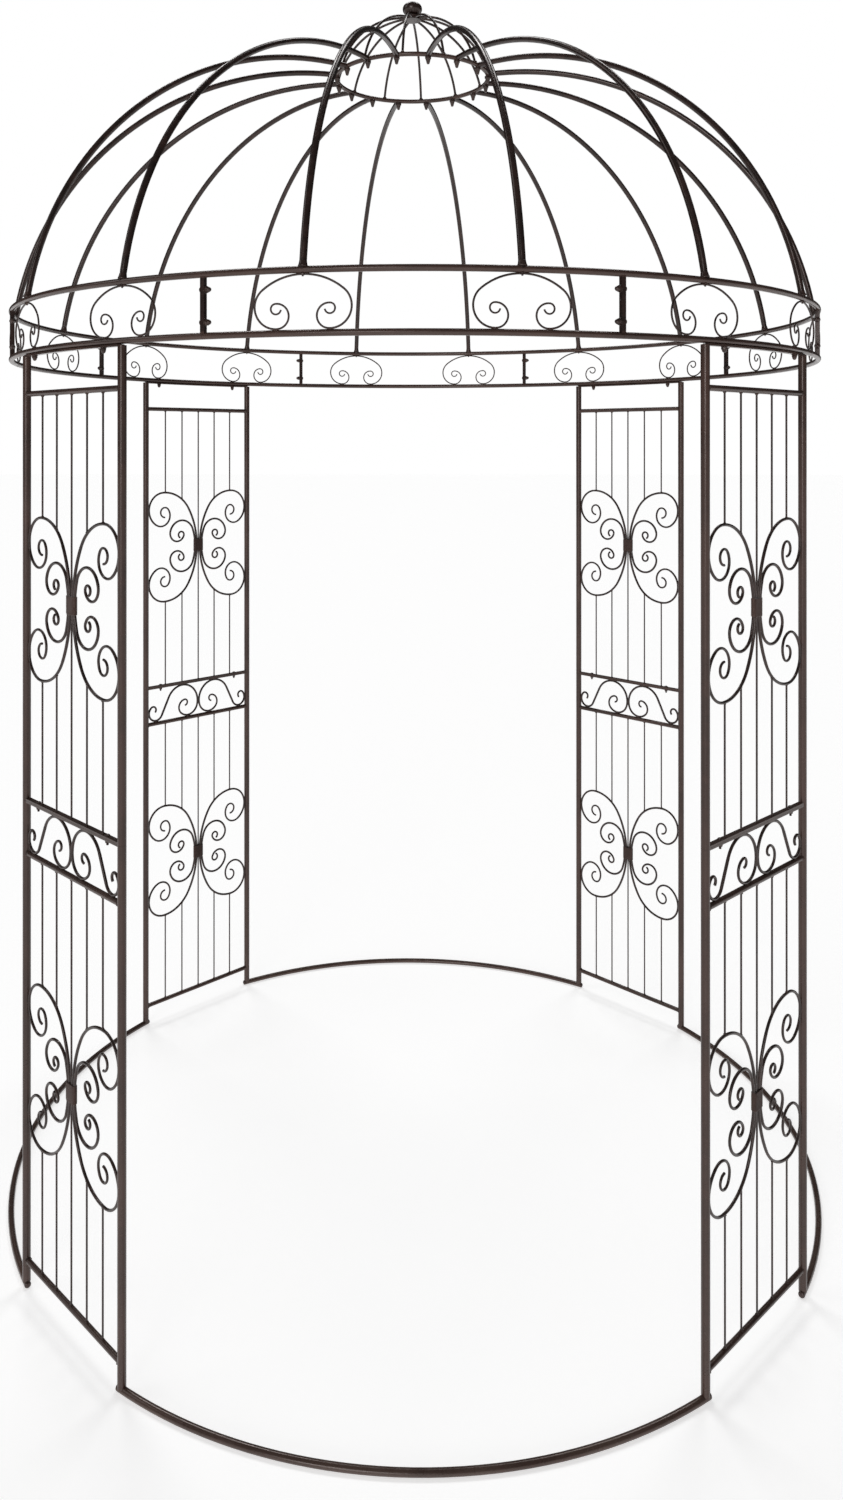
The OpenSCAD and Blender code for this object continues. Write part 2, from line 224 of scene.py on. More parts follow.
def powder_coat(name, dark, light, dust, gloss, grain_mm, grain_depth, tubes=None):
    """Satin coat. dark and light are the ends of its drift in tone, dust is the film on faces that look up. tubes gives
    the two ends of the drift on posts, rails and hoops, where they differ."""
    material = bpy.data.materials.new(name)
    material.use_nodes = True
    tree = material.node_tree
    tree.nodes.clear()
    where = add(tree, "ShaderNodeTexCoord", out="Object")
    layers = coat_layers(tree, where, gloss, grain_mm)

    tone = add(tree, "ShaderNodeMix", [(0, layers["drift"]), (6, linear(dark)), (7, linear(light))], out=2,
               data_type="RGBA")
    if tubes:
        tube_tone = add(tree, "ShaderNodeMix", [(0, layers["drift"]), (6, linear(tubes[0])), (7, linear(tubes[1]))],
                        out=2, data_type="RGBA")
        tone = add(tree, "ShaderNodeMix", [(0, tube_mask(tree, where)), (6, tone), (7, tube_tone)], out=2,
                   data_type="RGBA")
    tone = add(tree, "ShaderNodeMix", [(0, layers["patch"]), (6, tone), (7, THIN_COAT)], out=2, data_type="RGBA")

    normal = add(tree, "ShaderNodeNewGeometry", out="Normal")
    up = add(tree, "ShaderNodeSeparateXYZ", [(0, normal)], out="Z")
    film = add(tree, "ShaderNodeMapRange", [
        ("Value", up), ("From Min", STEEPEST_DUST), ("From Max", 1.0), ("To Min", 0.0), ("To Max", dust)])
    share = add(tree, "ShaderNodeMath", [(0, film), (1, layers["specks"])], operation="MULTIPLY")
    tone = add(tree, "ShaderNodeMix", [(0, share), (6, tone), (7, DUST)], out=2, data_type="RGBA")

    peel = add(tree, "ShaderNodeBump", [
        ("Strength", PEEL_STRENGTH), ("Distance", grain_depth * MM), ("Height", layers["grain"])])
    skin = add(tree, "ShaderNodeBsdfPrincipled", [
        ("Base Color", tone), ("Roughness", layers["sheen"]), ("Specular IOR Level", 0.5),
        ("Specular Tint", WARM_SHEEN), ("Normal", peel), ("Coat Weight", 0.1), ("Coat Roughness", 0.25)])
    add(tree, "ShaderNodeOutputMaterial", [("Surface", skin)], out=None)
    print(name, len(tree.nodes), "nodes")
    return material


# %% [markdown]
# One coat is drawn in several tones. The ground tubes are the lightest, as painted light from the floor on the coat's
# brown, and the posts and hoops come next. Rods and ribs are nearly black, which on the ribs is painted shade. Bolts
# and nuts were painted by hand after they were put in, so they are a little duller, and welds are the dullest, because
# paint sinks into their ripples.

# %% Coats for the frame and for the small pieces
GROUND_FLOOR_LIGHT_TONES = ("#3a2a25", "#504039")
TUBE_TONES = ("#2e201b", "#43312b")
ROD_TONES = ("#130b09", "#221512")
BOLT_TONES = ("#1f1412", "#33241f")
WIRE_TONES = ("#33231f", "#4c3933")
WELD_TONES = ("#21150f", "#382823")
OVEN_COAT = dict(dust=0.15, gloss=0.26, grain_mm=3.0, grain_depth=0.12)

# The lighter tone of the ground tubes is painted light from the floor, laid over the coat's own brown.
ground_floor_light_paint = powder_coat("powder_coated_steel_floor_lit_ground_tube", *GROUND_FLOOR_LIGHT_TONES, **OVEN_COAT)
frame_paint = powder_coat("powder_coated_steel_frame", *ROD_TONES, tubes=TUBE_TONES, **OVEN_COAT)
# The near-black tone of the ribs and the knob is painted shade; they share the brown coat of the posts.
rib_shade_paint = powder_coat("powder_coated_steel_shaded_rib", *ROD_TONES, **OVEN_COAT)
bolt_paint = powder_coat("painted_steel_bolt", *BOLT_TONES, dust=0.15, gloss=0.30, grain_mm=2.0, grain_depth=0.06)
wire_paint = powder_coat("painted_steel_winding_wire", *WIRE_TONES, dust=0.20, gloss=0.38, grain_mm=2.0,
                         grain_depth=0.06)
weld_paint = powder_coat("painted_weld_bead", *WELD_TONES, dust=0.15, gloss=0.44, grain_mm=2.0, grain_depth=0.15)

# %% [markdown]
# The nodes of the construction model get a coat and nothing else. A coat could be set by hand on each of the 38, but
# their names already say what they are, so the name decides.

# %% Coat the nodes of the construction model
for name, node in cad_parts.items():
    finish = frame_paint
    if name.startswith("ground_tube"):
        finish = ground_floor_light_paint
    elif name.startswith("rib") or name == "knob":
        finish = rib_shade_paint
    if node.data.materials:
        node.data.materials[0] = finish
    else:
        node.data.materials.append(finish)
print("coated", len(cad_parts), "nodes")

# %% [markdown]
# ## Turned shapes
#
# Bolts, nuts, washers, beads and plugs are all round about an axis, as if turned on a lathe. Blender's Screw modifier
# could spin a profile, but a nut also needs six flats and a bead needs ripples. So `shell` builds the rings itself,
# and a radius may be a number or a function of the angle. A profile runs from the axis, up the outside and back to the
# axis, which closes the shell at both ends.

# %% A lathe for closed shells
SIDES = 36


def shell(mesh, profile):
    """Adds a closed shell to the mesh. The profile's points are (radius, height) in millimetres."""
    rings = []
    for radius, z in profile:
        if radius == 0:
            rings.append([mesh.verts.new((0, 0, z * MM))])
            continue
        ring = []
        for k in range(SIDES):
            angle = 2 * math.pi * k / SIDES
            r = (radius(angle) if callable(radius) else radius) * MM
            ring.append(mesh.verts.new((r * math.cos(angle), r * math.sin(angle), z * MM)))
        rings.append(ring)
    for low, high in zip(rings, rings[1:]):
        for k in range(SIDES):
            corners = []
            for ring, step in ((low, k), (low, k + 1), (high, k + 1), (high, k)):
                vert = ring[step % len(ring)]
                if vert not in corners:
                    corners.append(vert)
            mesh.faces.new(corners).smooth = True


def part(name, *profiles, sharp=35):
    """Mesh object of several turned shells, to be placed many times. It isn't shown itself."""
    mesh = bmesh.new()
    for profile in profiles:
        shell(mesh, profile)
    bmesh.ops.recalc_face_normals(mesh, faces=mesh.faces)
    data = bpy.data.meshes.new(name)
    mesh.to_mesh(data)
    mesh.free()
    data.set_sharp_from_angle(angle=math.radians(sharp))
    print(name, len(data.polygons), "faces")
    return bpy.data.objects.new(name, data)


print("turned shapes have", SIDES, "sides")

# %% [markdown]
# A nut is a hexagon whose corners are turned down at both faces, so its profile steps from a smaller capped hexagon to
# the full one and back. A washer has rounded edges, and a thread is a zigzag, which looks the same as a real helix
# at this size and closes more simply.

# %% Nuts, washers and threads
CORNER_SHARE = 0.515
FACE_SHARE = 0.44


def hexagon(flats, cap):
    """Radius of a hexagon at each angle, with its corners turned down to cap."""
    def radius(angle):
        off = (angle + math.pi / 6) % (math.pi / 3) - math.pi / 6
        return min(flats / 2 / math.cos(off), cap)
    return radius


def nut(flats, low, high):
    """Hexagon nut with turned-down corners, between two heights."""
    wide, cap, face = hexagon(flats, flats), hexagon(flats, flats * CORNER_SHARE), flats * FACE_SHARE
    edge = (high - low) * 0.14
    return [(0, low), (face, low), (cap, low + edge * 0.2), (wide, low + edge), (wide, high - edge),
            (cap, high - edge * 0.2), (face, high), (0, high)]


def washer(r, low, high):
    """Flat washer with rounded edges."""
    edge = (high - low) * 0.3
    return [(0, low), (r - edge, low), (r, low + edge), (r, high - edge), (r - edge, high), (0, high)]


def thread(r, low, high, pitch=0.8):
    """Threaded bolt end with a chamfered tip at its low end."""
    z = low + r * 0.3
    profile = [(0, low), (r * 0.72, low), (r, z)]
    while z + pitch < high:
        profile += [(r * 0.86, z + pitch / 2), (r, z + pitch)]
        z += pitch
    return profile + [(r, high), (0, high)]


print("a nut of 8 mm has", len(nut(8, 0, 4)), "points in its profile")

# %% [markdown]
# Heads and cap nuts are domes. Each dome is a few points on an ellipse, which is all that shows on a head of 10 mm.

# %% Bolt heads and cap nuts
def button_head(r, low, high, key):
    """Round bolt head with a hexagon recess for a key."""
    rise = high - low
    recess, floor_z = hexagon(key, key), high - rise * 0.6
    dome = [(r * math.cos(math.radians(a)), low + rise * (0.15 + 0.85 * math.sin(math.radians(a))))
            for a in range(0, 62, 12)]
    return [(0, low), (r * 0.98, low)] + dome + [(recess, high), (recess, floor_z), (0, floor_z)]


def acorn(flats, low, high):
    """Cap nut: six flats at its high end, a dome at its low end."""
    wide, cap = hexagon(flats, flats), hexagon(flats, flats * CORNER_SHARE)
    collar = high - (high - low) * 0.45
    r = flats * 0.46
    dome = [(r * math.sin(math.radians(a)), collar - (collar - low) * math.cos(math.radians(a)))
            for a in range(10, 91, 16)]
    return [(0, low)] + dome + [(cap, collar + 0.2), (wide, collar + 0.8), (wide, high - 0.6), (cap, high - 0.1),
                                (flats * FACE_SHARE, high), (0, high)]


def cone_nut(r, low, high):
    """Tapered cap nut, narrow at its low end, with a rounded tip and a lip at its high end."""
    tall = high - low
    return [(0, low), (r * 0.3, low + tall * 0.02), (r * 0.46, low + tall * 0.1), (r * 0.78, low + tall * 0.62),
            (r * 0.84, low + tall * 0.7), (r, low + tall * 0.76), (r, high - tall * 0.04), (r * 0.94, high), (0, high)]


print("a bolt head of 10 mm has", len(button_head(5, 0, 3, 3)), "points in its profile")

# %% [markdown]
# ## Placing a part many times
#
# A fitter never leaves two nuts at the same angle. Copies placed by a plain loop would line up, so a geometry-nodes
# group puts the part on points instead: each point carries a turn and a size, and a seeded random twist about the
# part's own axis does the rest. The copies are made real and get their finish, because an export drops instances.

# %% A group that puts a part on points
def new_group(name, wanted):
    """Geometry-nodes group with a mesh in, a mesh out and the wanted inputs, which are pairs of a name and a kind."""
    tree = bpy.data.node_groups.new(name, "GeometryNodeTree")
    tree.interface.new_socket("Geometry", in_out="INPUT", socket_type="NodeSocketGeometry")
    for label, kind in wanted:
        tree.interface.new_socket(label, in_out="INPUT", socket_type="NodeSocket" + kind)
    tree.interface.new_socket("Geometry", in_out="OUTPUT", socket_type="NodeSocketGeometry")
    return tree, add(tree, "NodeGroupInput", out=None)


def placing_group():
    """Geometry-nodes group that puts a part on points, with a random twist and a little random size."""
    tree, given = new_group("part_on_points", (("Part", "Object"), ("Twist", "Float"), ("Size Spread", "Float"),
                                               ("Seed", "Int"), ("Finish", "Material")))
    shape = add(tree, "GeometryNodeObjectInfo", [("Object", given["Part"])], out="Geometry")
    euler = add(tree, "GeometryNodeInputNamedAttribute", [("Name", "turn")], out="Attribute", data_type="FLOAT_VECTOR")
    turn = add(tree, "FunctionNodeEulerToRotation", [(0, euler)])
    back = add(tree, "ShaderNodeMath", [(0, given["Twist"]), (1, -1.0)], operation="MULTIPLY")
    angle = add(tree, "FunctionNodeRandomValue", [(2, back), (3, given["Twist"]), ("Seed", given["Seed"])], out=1,
                data_type="FLOAT")
    own = add(tree, "FunctionNodeAxisAngleToRotation", [("Axis", (0, 0, 1)), ("Angle", angle)])
    turn = add(tree, "FunctionNodeRotateRotation", [(0, turn), (1, own)], rotation_space="LOCAL")
    size = add(tree, "GeometryNodeInputNamedAttribute", [("Name", "size")], out="Attribute", data_type="FLOAT")
    least = add(tree, "ShaderNodeMath", [(0, 1.0), (1, given["Size Spread"])], operation="SUBTRACT")
    most = add(tree, "ShaderNodeMath", [(0, 1.0), (1, given["Size Spread"])], operation="ADD")
    vary = add(tree, "FunctionNodeRandomValue", [(2, least), (3, most), ("Seed", given["Seed"])], out=1,
               data_type="FLOAT")
    scale = add(tree, "ShaderNodeMath", [(0, size), (1, vary)], operation="MULTIPLY")
    points = add(tree, "GeometryNodeMeshToPoints", [("Mesh", given["Geometry"])])
    copies = add(tree, "GeometryNodeInstanceOnPoints", [
        ("Points", points), ("Instance", shape), ("Rotation", turn), ("Scale", scale)])
    real = add(tree, "GeometryNodeRealizeInstances", [("Geometry", copies)])
    done = add(tree, "GeometryNodeSetMaterial", [("Geometry", real), ("Material", given["Finish"])])
    add(tree, "NodeGroupOutput", [("Geometry", done)], out=None)
    return tree


PLACING = placing_group()
print("placing group has", len(PLACING.nodes), "nodes")

# %% [markdown]
# The group runs as a modifier on an object that holds only the points or the path. Its result is copied to a plain
# mesh at the origin, which rides on the pavilion and takes the finish of its paint.

# %% From a group to a plain piece
def plain_piece(name, points, edges, group, values, attributes=()):
    """Runs a geometry-nodes group on points and edges, and keeps its result as a plain mesh on the pavilion.
    attributes are (name, kind, field, one value a point)."""
    data = bpy.data.meshes.new(name + "_points")
    data.from_pydata(points, edges, [])
    for label, kind, _, _ in attributes:
        data.attributes.new(label, kind, "POINT")
    for label, _, field, entries in attributes:
        for k, entry in enumerate(entries):
            setattr(data.attributes[label].data[k], field, entry)
    holder = bpy.data.objects.new(name + "_points", data)
    bpy.context.scene.collection.objects.link(holder)
    step = holder.modifiers.new("make", "NODES")
    step.node_group = group
    for item in group.interface.items_tree:
        if item.in_out == "INPUT" and item.name in values:
            step[item.identifier] = values[item.name]
    bpy.context.view_layer.update()
    made = holder.evaluated_get(bpy.context.evaluated_depsgraph_get())
    result = bpy.data.meshes.new_from_object(made)
    result.name = name
    holder.modifiers.remove(step)
    bpy.data.objects.remove(holder)
    piece = bpy.data.objects.new(name, result)
    bpy.context.scene.collection.objects.link(piece)
    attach(piece, "root")
    print(name, len(result.polygons), "faces")
    return piece


def place(name, copy, spots, finish, seed, size_spread=0.0):
    """Puts the part on each spot, which is (point, axis) or (point, axis, size), and makes one piece of them."""
    turns = [Vector(spot[1]).to_track_quat("Z", "Y").to_euler() for spot in spots]
    sizes = [spot[2] if len(spot) > 2 else 1.0 for spot in spots]
    return plain_piece(name, [spot[0] for spot in spots], [], PLACING,
                       {"Part": copy, "Twist": math.pi, "Size Spread": size_spread, "Seed": seed, "Finish": finish},
                       [("turn", "FLOAT_VECTOR", "vector", turns), ("size", "FLOAT", "value", sizes)])


# %% [markdown]
# ## Bolts of the side panels
#
# The two sections of each panel meet in a pair of straps. Two bolts hold them: heads on top, nuts and threaded tails
# under the lower strap. Two more hold the panel to the lower hoop, with cap nuts below, so that nobody scratches a hand
# on a thread. All parts are drawn about the middle of the joint, and one set of points places each kind.

# %% Bolts at the seam and at the lower hoop
UP = Vector((0, 0, 1))
BOLT_X = 139 * MM

seam_bolt = part("seam_bolt_part", button_head(r=5.2, low=5.0, high=8.0, key=3.0), washer(r=5.6, low=4.2, high=5.1),
                 washer(r=5.6, low=-4.9, high=-3.9), nut(flats=8.0, low=-8.8, high=-4.8),
                 thread(r=2.5, low=-13.4, high=-8.4))
seam_spots = [(on_panel(turn, x, SEAM_Z), UP) for turn in PANEL_TURNS for x in (-BOLT_X, BOLT_X)]
place("seam_bolts", seam_bolt, seam_spots, bolt_paint, seed=3)

hoop_bolt = part("hoop_bolt_part", button_head(r=5.2, low=5.8, high=8.8, key=3.0),
                 washer(r=6.2, low=-11.6, high=-10.4), acorn(flats=10.0, low=-21.8, high=-11.5))
hoop_bolt_turn = math.degrees(math.asin(BOLT_X / FRAME_R))
hoop_spots = [(on_ring(turn + side * hoop_bolt_turn, FRAME_R, HOOP_Z), UP) for turn in PANEL_TURNS for side in (-1, 1)]
place("hoop_bolts", hoop_bolt, hoop_spots, bolt_paint, seed=4)

# %% [markdown]
# ## Bolts of the frieze
#
# The ring on top is made of eight segments, bolted through their flat uprights. A bolt lies along the ring, so its axis
# is the tangent there. Turning all bolts the same way round the ring would be simpler, but here the cap nuts are all on
# the side towards the front, so that both halves of the pavilion look alike from there.

# %% Bolts through the uprights
JOINT_BOLT_SHARES = (0.22, 0.75)

joint_bolt = part("joint_bolt_part", acorn(flats=11.0, low=-16.0, high=-4.9), washer(r=6.8, low=-5.0, high=-4.1),
                  washer(r=5.6, low=4.1, high=4.9), button_head(r=5.0, low=4.8, high=7.7, key=3.0))
joint_spots = []
for turn in JOINT_TURNS:
    towards_front = Vector((1, 0, 0)) if turn > 180 else Vector((-1, 0, 0))
    for share in JOINT_BOLT_SHARES:
        joint_spots.append((on_ring(turn, FRAME_R, HOOP_Z + share * FRIEZE_H), -(turned(turn) @ towards_front)))
place("frieze_joint_bolts", joint_bolt, joint_spots, bolt_paint, seed=5)

# %% [markdown]
# ## Feet and heads of the ribs
#
# A rib stands on the upper hoop in a short sleeve and is held by a bolt from below. At the top it is held to the crown
# ring by a tapered nut, like a small bud. The sleeve leans with the rib, so it gets the rib's direction as its axis.

# %% Nuts and sleeves at the feet, buds under the crown ring
RIB_LEAN = Vector((0, 0.153, 0.988))

rib_bolt = part("rib_bolt_part", washer(r=4.6, low=-6.9, high=-6.0), nut(flats=7.0, low=-9.9, high=-6.8),
                thread(r=2.0, low=-12.0, high=-9.6))
rib_spots = [(on_ring(turn, FRAME_R, UPPER_HOOP_Z), UP) for turn in RIB_TURNS]
place("rib_foot_nuts", rib_bolt, rib_spots, bolt_paint, seed=6)

rib_sleeve = part("rib_sleeve_part", [
    (0, 4.6), (8.6, 4.6), (9.0, 5.4), (9.0, 6.6), (8.5, 7.6), (7.8, 9.8), (7.3, 12.6), (7.0, 15.0), (6.6, 15.4),
    (0, 15.4)])
sleeve_spots = [(on_ring(turn, FRAME_R, UPPER_HOOP_Z), turned(turn) @ RIB_LEAN) for turn in RIB_TURNS]
place("rib_foot_sleeves", rib_sleeve, sleeve_spots, bolt_paint, seed=13)

crown_bolt = part("crown_bolt_part", washer(r=7.6, low=-6.5, high=-5.2), cone_nut(r=7.4, low=-24.0, high=-6.4))
crown_spots = [(on_ring(turn, CROWN_R, CROWN_Z), UP) for turn in RIB_TURNS]
place("crown_ring_nuts", crown_bolt, crown_spots, bolt_paint, seed=7)

# %% [markdown]
# ## The wound collars
#
# Each pair of scrolls is tied to the middle bar by wire, wound side by side round the rods. Stacked rings would look
# alike from afar, but a real winding climbs, so the path is one helix round a flat section with round ends, with small
# seeded errors in its pitch.

# %% The path of one winding
WIRE_D = 2.0
WIRE_STAND = 0.3 * WIRE_D
COLLAR_H = 38
COLLAR_HALF = 12.15
COLLAR_R = 3.75
PITCH_ERROR = (-0.02, 0.05)
STEPS = 28


def winding_path(draw):
    """Points of one winding round a collar whose middle is the origin, in millimetres."""
    r = COLLAR_R + WIRE_STAND
    straight, bend = 2 * COLLAR_HALF, math.pi * r
    whole = 2 * (straight + bend)
    points = []
    z = -COLLAR_H / 2 + WIRE_D / 2
    while z < COLLAR_H / 2 - WIRE_D / 2:
        step = WIRE_D * (1 + draw.uniform(*PITCH_ERROR))
        for k in range(STEPS):
            s = whole * k / STEPS
            if s < straight:
                x, y = s - COLLAR_HALF, -r
            elif s < straight + bend:
                a = (s - straight) / r - math.pi / 2
                x, y = COLLAR_HALF + r * math.cos(a), r * math.sin(a)
            elif s < 2 * straight + bend:
                x, y = COLLAR_HALF - (s - straight - bend), r
            else:
                a = (s - 2 * straight - bend) / r + math.pi / 2
                x, y = -COLLAR_HALF + r * math.cos(a), r * math.sin(a)
            points.append((x, y, z + step * k / STEPS))
        z += step
    return points


draw = random.Random(11)
path_points, path_edges = [], []
for turn in PANEL_TURNS:
    for middle in FIELD_MIDDLES:
        start = len(path_points)
        path_points += [on_panel(turn, x * MM, middle + z * MM, -y * MM) for x, y, z in winding_path(draw)]
        path_edges += [(k, k + 1) for k in range(start, len(path_points) - 1)]
print("winding paths have", len(path_points), "points")

# %% [markdown]
# A path is only points and edges. A curve with a round bevel would make wire of it too, but a second group keeps the
# wire's radius and sides as inputs and ends in a plain mesh, as all added pieces do.

# %% Wire along the paths
WIRE_SIDES = 10


def winding_group():
    """Geometry-nodes group that turns a path into round wire."""
    tree, given = new_group("wire_on_path", (("Wire Radius", "Float"), ("Wire Sides", "Int"), ("Finish", "Material")))
    path = add(tree, "GeometryNodeMeshToCurve", [("Mesh", given["Geometry"])])
    ring = add(tree, "GeometryNodeCurvePrimitiveCircle", [("Resolution", given["Wire Sides"]),
                                                          ("Radius", given["Wire Radius"])])
    wire = add(tree, "GeometryNodeCurveToMesh", [("Curve", path), ("Profile Curve", ring), ("Fill Caps", True)])
    soft = add(tree, "GeometryNodeSetShadeSmooth", [("Geometry", wire)])
    real = add(tree, "GeometryNodeRealizeInstances", [("Geometry", soft)])
    done = add(tree, "GeometryNodeSetMaterial", [("Geometry", real), ("Material", given["Finish"])])
    add(tree, "NodeGroupOutput", [("Geometry", done)], out=None)
    return tree


plain_piece("collar_windings", path_points, path_edges, winding_group(),
            {"Wire Radius": WIRE_D / 2 * MM, "Wire Sides": WIRE_SIDES, "Finish": wire_paint})

# %% [markdown]
# ## Weld beads
#
# Bars are welded to their rails and scrolls, rails to the posts, and the cage rods to the crown ring. A bead is a
# rippled fillet round the end of the smaller rod. A torus would be too even, so the bead is turned like a nut, with two
# waves of different count in its radius. The random twist of the placing group makes each one look laid by hand.

# %% A rippled bead
def ripple(r, depth, phase):
    """Radius with the uneven edge of a hand-laid bead."""
    return lambda a: r * (1 + depth * math.cos(5 * a + phase) + 0.6 * depth * math.cos(9 * a + 2 * phase))


def bead(r):
    """Profile of a bead round a rod of radius r, from the joint at height 0 up the rod."""
    return [(0, -0.8), (ripple(r + 0.9, 0.05, 0.4), -0.8), (ripple(r + 1.5, 0.07, 0.4), 0.1),
            (ripple(r + 1.25, 0.07, 0.7), 0.8), (ripple(r + 0.7, 0.05, 1.1), 1.5), (r + 0.2, 2.1), (r - 0.3, 2.4),
            (0, 2.4)]


print("a bead on a rod of 4 mm has", len(bead(2.0)), "points in its profile")

# %% [markdown]
# Each bar ends in a bead at both rails. All but the middle bar stop at the wing scrolls, with slightly smaller beads
# there. The cage rods lean inwards, so their beads lean too, and they are larger because the rods are thicker. A part
# for each would be more work: one does for all three, because the placing group takes a size for each point.

# %% Beads on the bars, the wings and the cage
DOWN = Vector((0, 0, -1))
BEAD_SHARP = 70
# Where bars meet a wing: x from the middle line, rise from the tie.
WING_TOPS = [(CLEAR_X / 3, 146.3 * MM), (2 * CLEAR_X / 3, 169.0 * MM)]
WING_ROD = 2.6 * MM
WING_BEAD_SIZE = 0.85
CAGE_TURNS = [23 + 30 * k for k in range(12)]
CAGE_R = CROWN_R - 1.2 * MM
CAGE_Z = CROWN_Z + CROWN_TUBE_R - 0.3 * MM
CAGE_LEAN = Vector((0, 0.22, 0.975))
CAGE_BEAD_SIZE = 1.5

bar_bead = part("bar_bead_part", bead(2.0), sharp=BEAD_SHARP)
bar_spots = []
for turn in PANEL_TURNS:
    for x in BAR_XS:
        bar_spots += [(on_panel(turn, x, FOOT_RAIL_Z + RAIL_R), UP), (on_panel(turn, x, BAND_Z - RAIL_R), DOWN),
                      (on_panel(turn, x, SEAM_Z + SEAT + STRAP), UP), (on_panel(turn, x, NECK_Z - RAIL_R), DOWN)]
    for middle in FIELD_MIDDLES:
        for x, rise in WING_TOPS:
            for side in (-1, 1):
                bar_spots += [(on_panel(turn, side * x, middle + rise + WING_ROD), UP, WING_BEAD_SIZE),
                              (on_panel(turn, side * x, middle - rise - WING_ROD), DOWN, WING_BEAD_SIZE)]
bar_spots += [(on_ring(turn, CAGE_R, CAGE_Z), turned(turn) @ CAGE_LEAN, CAGE_BEAD_SIZE) for turn in CAGE_TURNS]
place("bar_welds", bar_bead, bar_spots, weld_paint, seed=8, size_spread=0.08)

# %% [markdown]
# A rail meets a round post, so a bead that sat on the post's nearest line would stand off it above and below. It is set
# a little into the post instead, where it leaves no gap.

# %% Beads between rails and posts
RAIL_BEAD_X = CLEAR_X + 1.2 * MM

rail_bead = part("rail_bead_part", bead(6.0), sharp=BEAD_SHARP)
rail_spots = []
for turn in PANEL_TURNS:
    for z in (FOOT_RAIL_Z, BAND_Z, NECK_Z):
        for side in (-1, 1):
            rail_spots.append((on_panel(turn, side * RAIL_BEAD_X, z), turned(turn) @ Vector((-side, 0, 0))))
place("rail_welds", rail_bead, rail_spots, weld_paint, seed=9, size_spread=0.05)

# %% [markdown]
# ## Tacks on the scrolls
#
# A scroll that touches a post, a rail or a hoop is tacked there by a small lens of weld, through the joint from front
# to back. The contacts could be searched for in the meshes, but each panel has the same few, so they are listed once,
# in millimetres, as x from the middle line and z above the ground.

# %% Tacks on panels and frieze
TOUCH_Z = 115.1 * MM
S_TACKS = [(59.0, 1023.6), (39.7, 922.2), (156.5, 922.2), (182.7, 948.5)]
S_MIDDLE_Z = 965.2 * MM
MOTIF_TACKS = [(0, 2079.6), (49.5, 1982.0), (-49.5, 1982.0)]
MOTIF_TACK_SIZE = 0.72
OUT = Vector((0, -1, 0))

tack = part("tack_part", [
    (0, -2.9), (ripple(1.5, 0.1, 0.2), -2.7), (ripple(2.5, 0.12, 0.9), -1.9), (ripple(2.9, 0.12, 1.3), 0),
    (ripple(2.5, 0.12, 1.8), 1.9), (ripple(1.5, 0.1, 2.4), 2.7), (0, 2.9)], sharp=BEAD_SHARP)
tack_spots = []
for turn in PANEL_TURNS:
    out = turned(turn) @ OUT
    for side in (-1, 1):
        for middle in FIELD_MIDDLES:
            for z in (middle - TOUCH_Z, middle + TOUCH_Z):
                tack_spots.append((on_panel(turn, side * CLEAR_X, z), out))
        for x, z in S_TACKS:
            tack_spots.append((on_panel(turn, side * x * MM, z * MM), out))
    tack_spots.append((on_panel(turn, 0, S_MIDDLE_Z), out))
for turn in RIB_TURNS:
    for x, z in MOTIF_TACKS:
        point = turned(turn) @ Vector((x * MM, -FRAME_R, z * MM))
        tack_spots.append((point, turned(turn) @ OUT, MOTIF_TACK_SIZE))
place("scroll_tacks", tack, tack_spots, weld_paint, seed=12, size_spread=0.12)

# %% [markdown]
# ## Plugs in the ground tubes
#
# The ground tubes stop at the far side of each post, where a rounded plug keeps water out. The plug is turned like the
# nuts, with a lip that rests on the tube's end, and is drawn for a 16 mm tube and placed at the size of this one.

# %% A plug at both ends of each ground tube
GROUND_R = 7 * MM
PLUG_SIZE = 0.875

plug = part("tube_plug_part", [(0, -3), (7.4, -3), (7.4, -0.2), (7.9, 0.0), (7.9, 0.9), (7.4, 2.0), (6.2, 3.1),
                               (4.3, 3.9), (2.2, 4.3), (0, 4.4)])
end_turn = 3 * HALF_PART + math.degrees(math.asin(POST_R / FRAME_R))
plug_spots = []
for turn in (0, 90, 180, 270):
    for side in (-1, 1):
        end = turn + side * end_turn
        plug_spots.append((on_ring(end, FRAME_R, GROUND_R), turned(end) @ Vector((side, 0, 0)), PLUG_SIZE))
place("ground_tube_plugs", plug, plug_spots, bolt_paint, seed=10)

# %% [markdown]
# ## The floor
#
# The floor is pale and plain and keeps the pavilion's shadow. Brighter lamps would make it white, but they would also
# wash out the brown. So it glows a little instead, only for the camera and for reflections, which is why the undersides
# of the hoops gleam. The floor lets light through from below, where one of the lamps stands.

# %% A pale floor
FLOOR_HALF = 60.0
FLOOR_DROP = 0.5 * MM
FLOOR_GREY = 0.8
FLOOR_GLOW = 0.61
WHITE = (1, 1, 1, 1)

floor_data = bpy.data.meshes.new("floor")
floor_data.from_pydata([(-FLOOR_HALF, -FLOOR_HALF, 0), (FLOOR_HALF, -FLOOR_HALF, 0), (FLOOR_HALF, FLOOR_HALF, 0),
                        (-FLOOR_HALF, FLOOR_HALF, 0)], [], [(0, 1, 2, 3)])
floor = bpy.data.objects.new("floor", floor_data)
bpy.context.scene.collection.objects.link(floor)
floor.location.z = -FLOOR_DROP
floor.visible_shadow = False

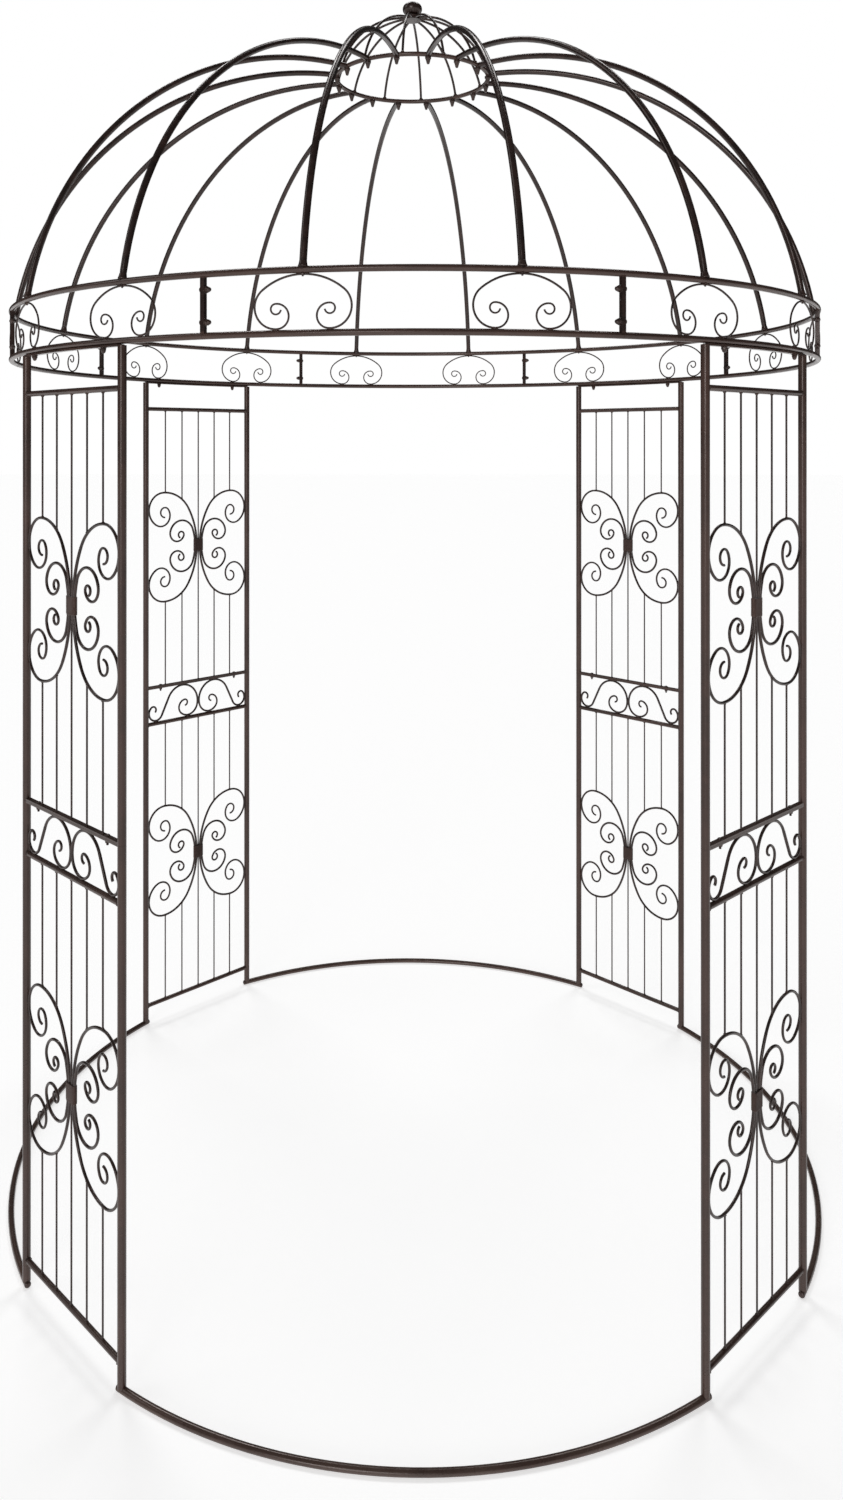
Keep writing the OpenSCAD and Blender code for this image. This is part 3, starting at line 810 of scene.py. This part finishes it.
floor_finish = bpy.data.materials.new("pale_floor")
floor_finish.use_nodes = True
tree = floor_finish.node_tree
tree.nodes.clear()
matt = add(tree, "ShaderNodeBsdfDiffuse", [("Color", (FLOOR_GREY, FLOOR_GREY, FLOOR_GREY, 1))])
rays = add(tree, "ShaderNodeLightPath", out=None)
seen = add(tree, "ShaderNodeMath", [(0, rays["Is Glossy Ray"]), (1, rays["Is Camera Ray"])], operation="ADD")
lift = add(tree, "ShaderNodeMath", [(0, seen), (1, FLOOR_GLOW)], operation="MULTIPLY")
glow = add(tree, "ShaderNodeEmission", [("Color", WHITE), ("Strength", lift)])
both = add(tree, "ShaderNodeAddShader", [(0, matt), (1, glow)])
add(tree, "ShaderNodeOutputMaterial", [("Surface", both)], out=None)
floor_data.materials.append(floor_finish)
print("floor reaches", FLOOR_HALF, "m each way")

# %% [markdown]
# ## The surroundings
#
# The camera sees the surroundings as white. The light that they throw on the pavilion is weak, and weaker from behind
# than from the front, so the upper sides of the tubes stay dark. A photographed sky would give richer reflections, but
# it would be a file, and the plain studio needs none.

# %% A white background with weak light
SKY_FRONT, SKY_BACK = 0.16, 0.04
FADE_FRONT, FADE_BACK = -0.7, 0.5

world = bpy.data.worlds.new("studio")
bpy.context.scene.world = world
world.use_nodes = True
tree = world.node_tree
tree.nodes.clear()
seen = add(tree, "ShaderNodeLightPath", out="Is Camera Ray")
way = add(tree, "ShaderNodeTexCoord", out="Generated")
depth = add(tree, "ShaderNodeSeparateXYZ", [(0, way)], out="Y")
soft = add(tree, "ShaderNodeMapRange", [("Value", depth), ("From Min", FADE_FRONT), ("From Max", FADE_BACK),
                                        ("To Min", SKY_FRONT), ("To Max", SKY_BACK)])
level = add(tree, "ShaderNodeMix", [(0, seen), (2, soft), (3, 1.0)], data_type="FLOAT")
sky = add(tree, "ShaderNodeBackground", [("Color", WHITE), ("Strength", level)])
add(tree, "ShaderNodeOutputWorld", [("Surface", sky)], out=None)
print("light from the surroundings:", SKY_FRONT, "to", SKY_BACK)

# %% [markdown]
# ## Lamps
#
# Area lamps would fall off across three metres of pavilion, so all lamps are far, soft suns. One stands in front, a
# weak one on the left, and two high behind draw the shadows and the gleam along the ribs. The strongest shines up from
# below, in place of the light that a white floor throws back.

# %% Five soft lamps
# Each lamp: strength, then its softness, its turn from the front and its height in degrees.
LAMPS = {"front": (0.75, 25, -15, 10),
         "left": (0.3, 30, -85, 30),
         "bounce": (1.4, 40, -8, -45),
         "high_left": (0.6, 18, -150, 58),
         "high_right": (0.45, 18, 150, 58)}

for name, (strength, softness, azimuth, height) in LAMPS.items():
    data = bpy.data.lights.new(name, "SUN")
    data.energy = strength
    data.angle = math.radians(softness)
    lamp = bpy.data.objects.new(name, data)
    bpy.context.scene.collection.objects.link(lamp)
    towards = turned(azimuth) @ Matrix.Rotation(math.radians(-height), 4, "X") @ Vector((0, -1, 0))
    lamp.rotation_euler = towards.to_track_quat("Z", "Y").to_euler()
    print(name, "lamp from", [round(v, 2) for v in towards])

# %% [markdown]
# ## Camera
#
# The camera stands at eye height before the front doorway and looks level, so that the posts stay upright. Tilting it
# down would take in the ground but make the posts lean, so the lens is shifted down instead.

# %% A level camera with a shifted lens
camera_data = bpy.data.cameras.new("camera")
camera_data.sensor_width = 36.0
camera_data.lens = 27.66
camera_data.shift_x = 0.0196
camera_data.shift_y = -0.2064
camera_data.clip_end = 200
camera = bpy.data.objects.new("camera", camera_data)
bpy.context.scene.collection.objects.link(camera)
camera.location = (0.0, -2.972, 1.785)
camera.rotation_euler = (math.radians(90.07), 0, math.radians(1.008))
bpy.context.scene.camera = camera
bpy.context.scene.view_settings.view_transform = "Standard"
print("camera at", list(camera.location))
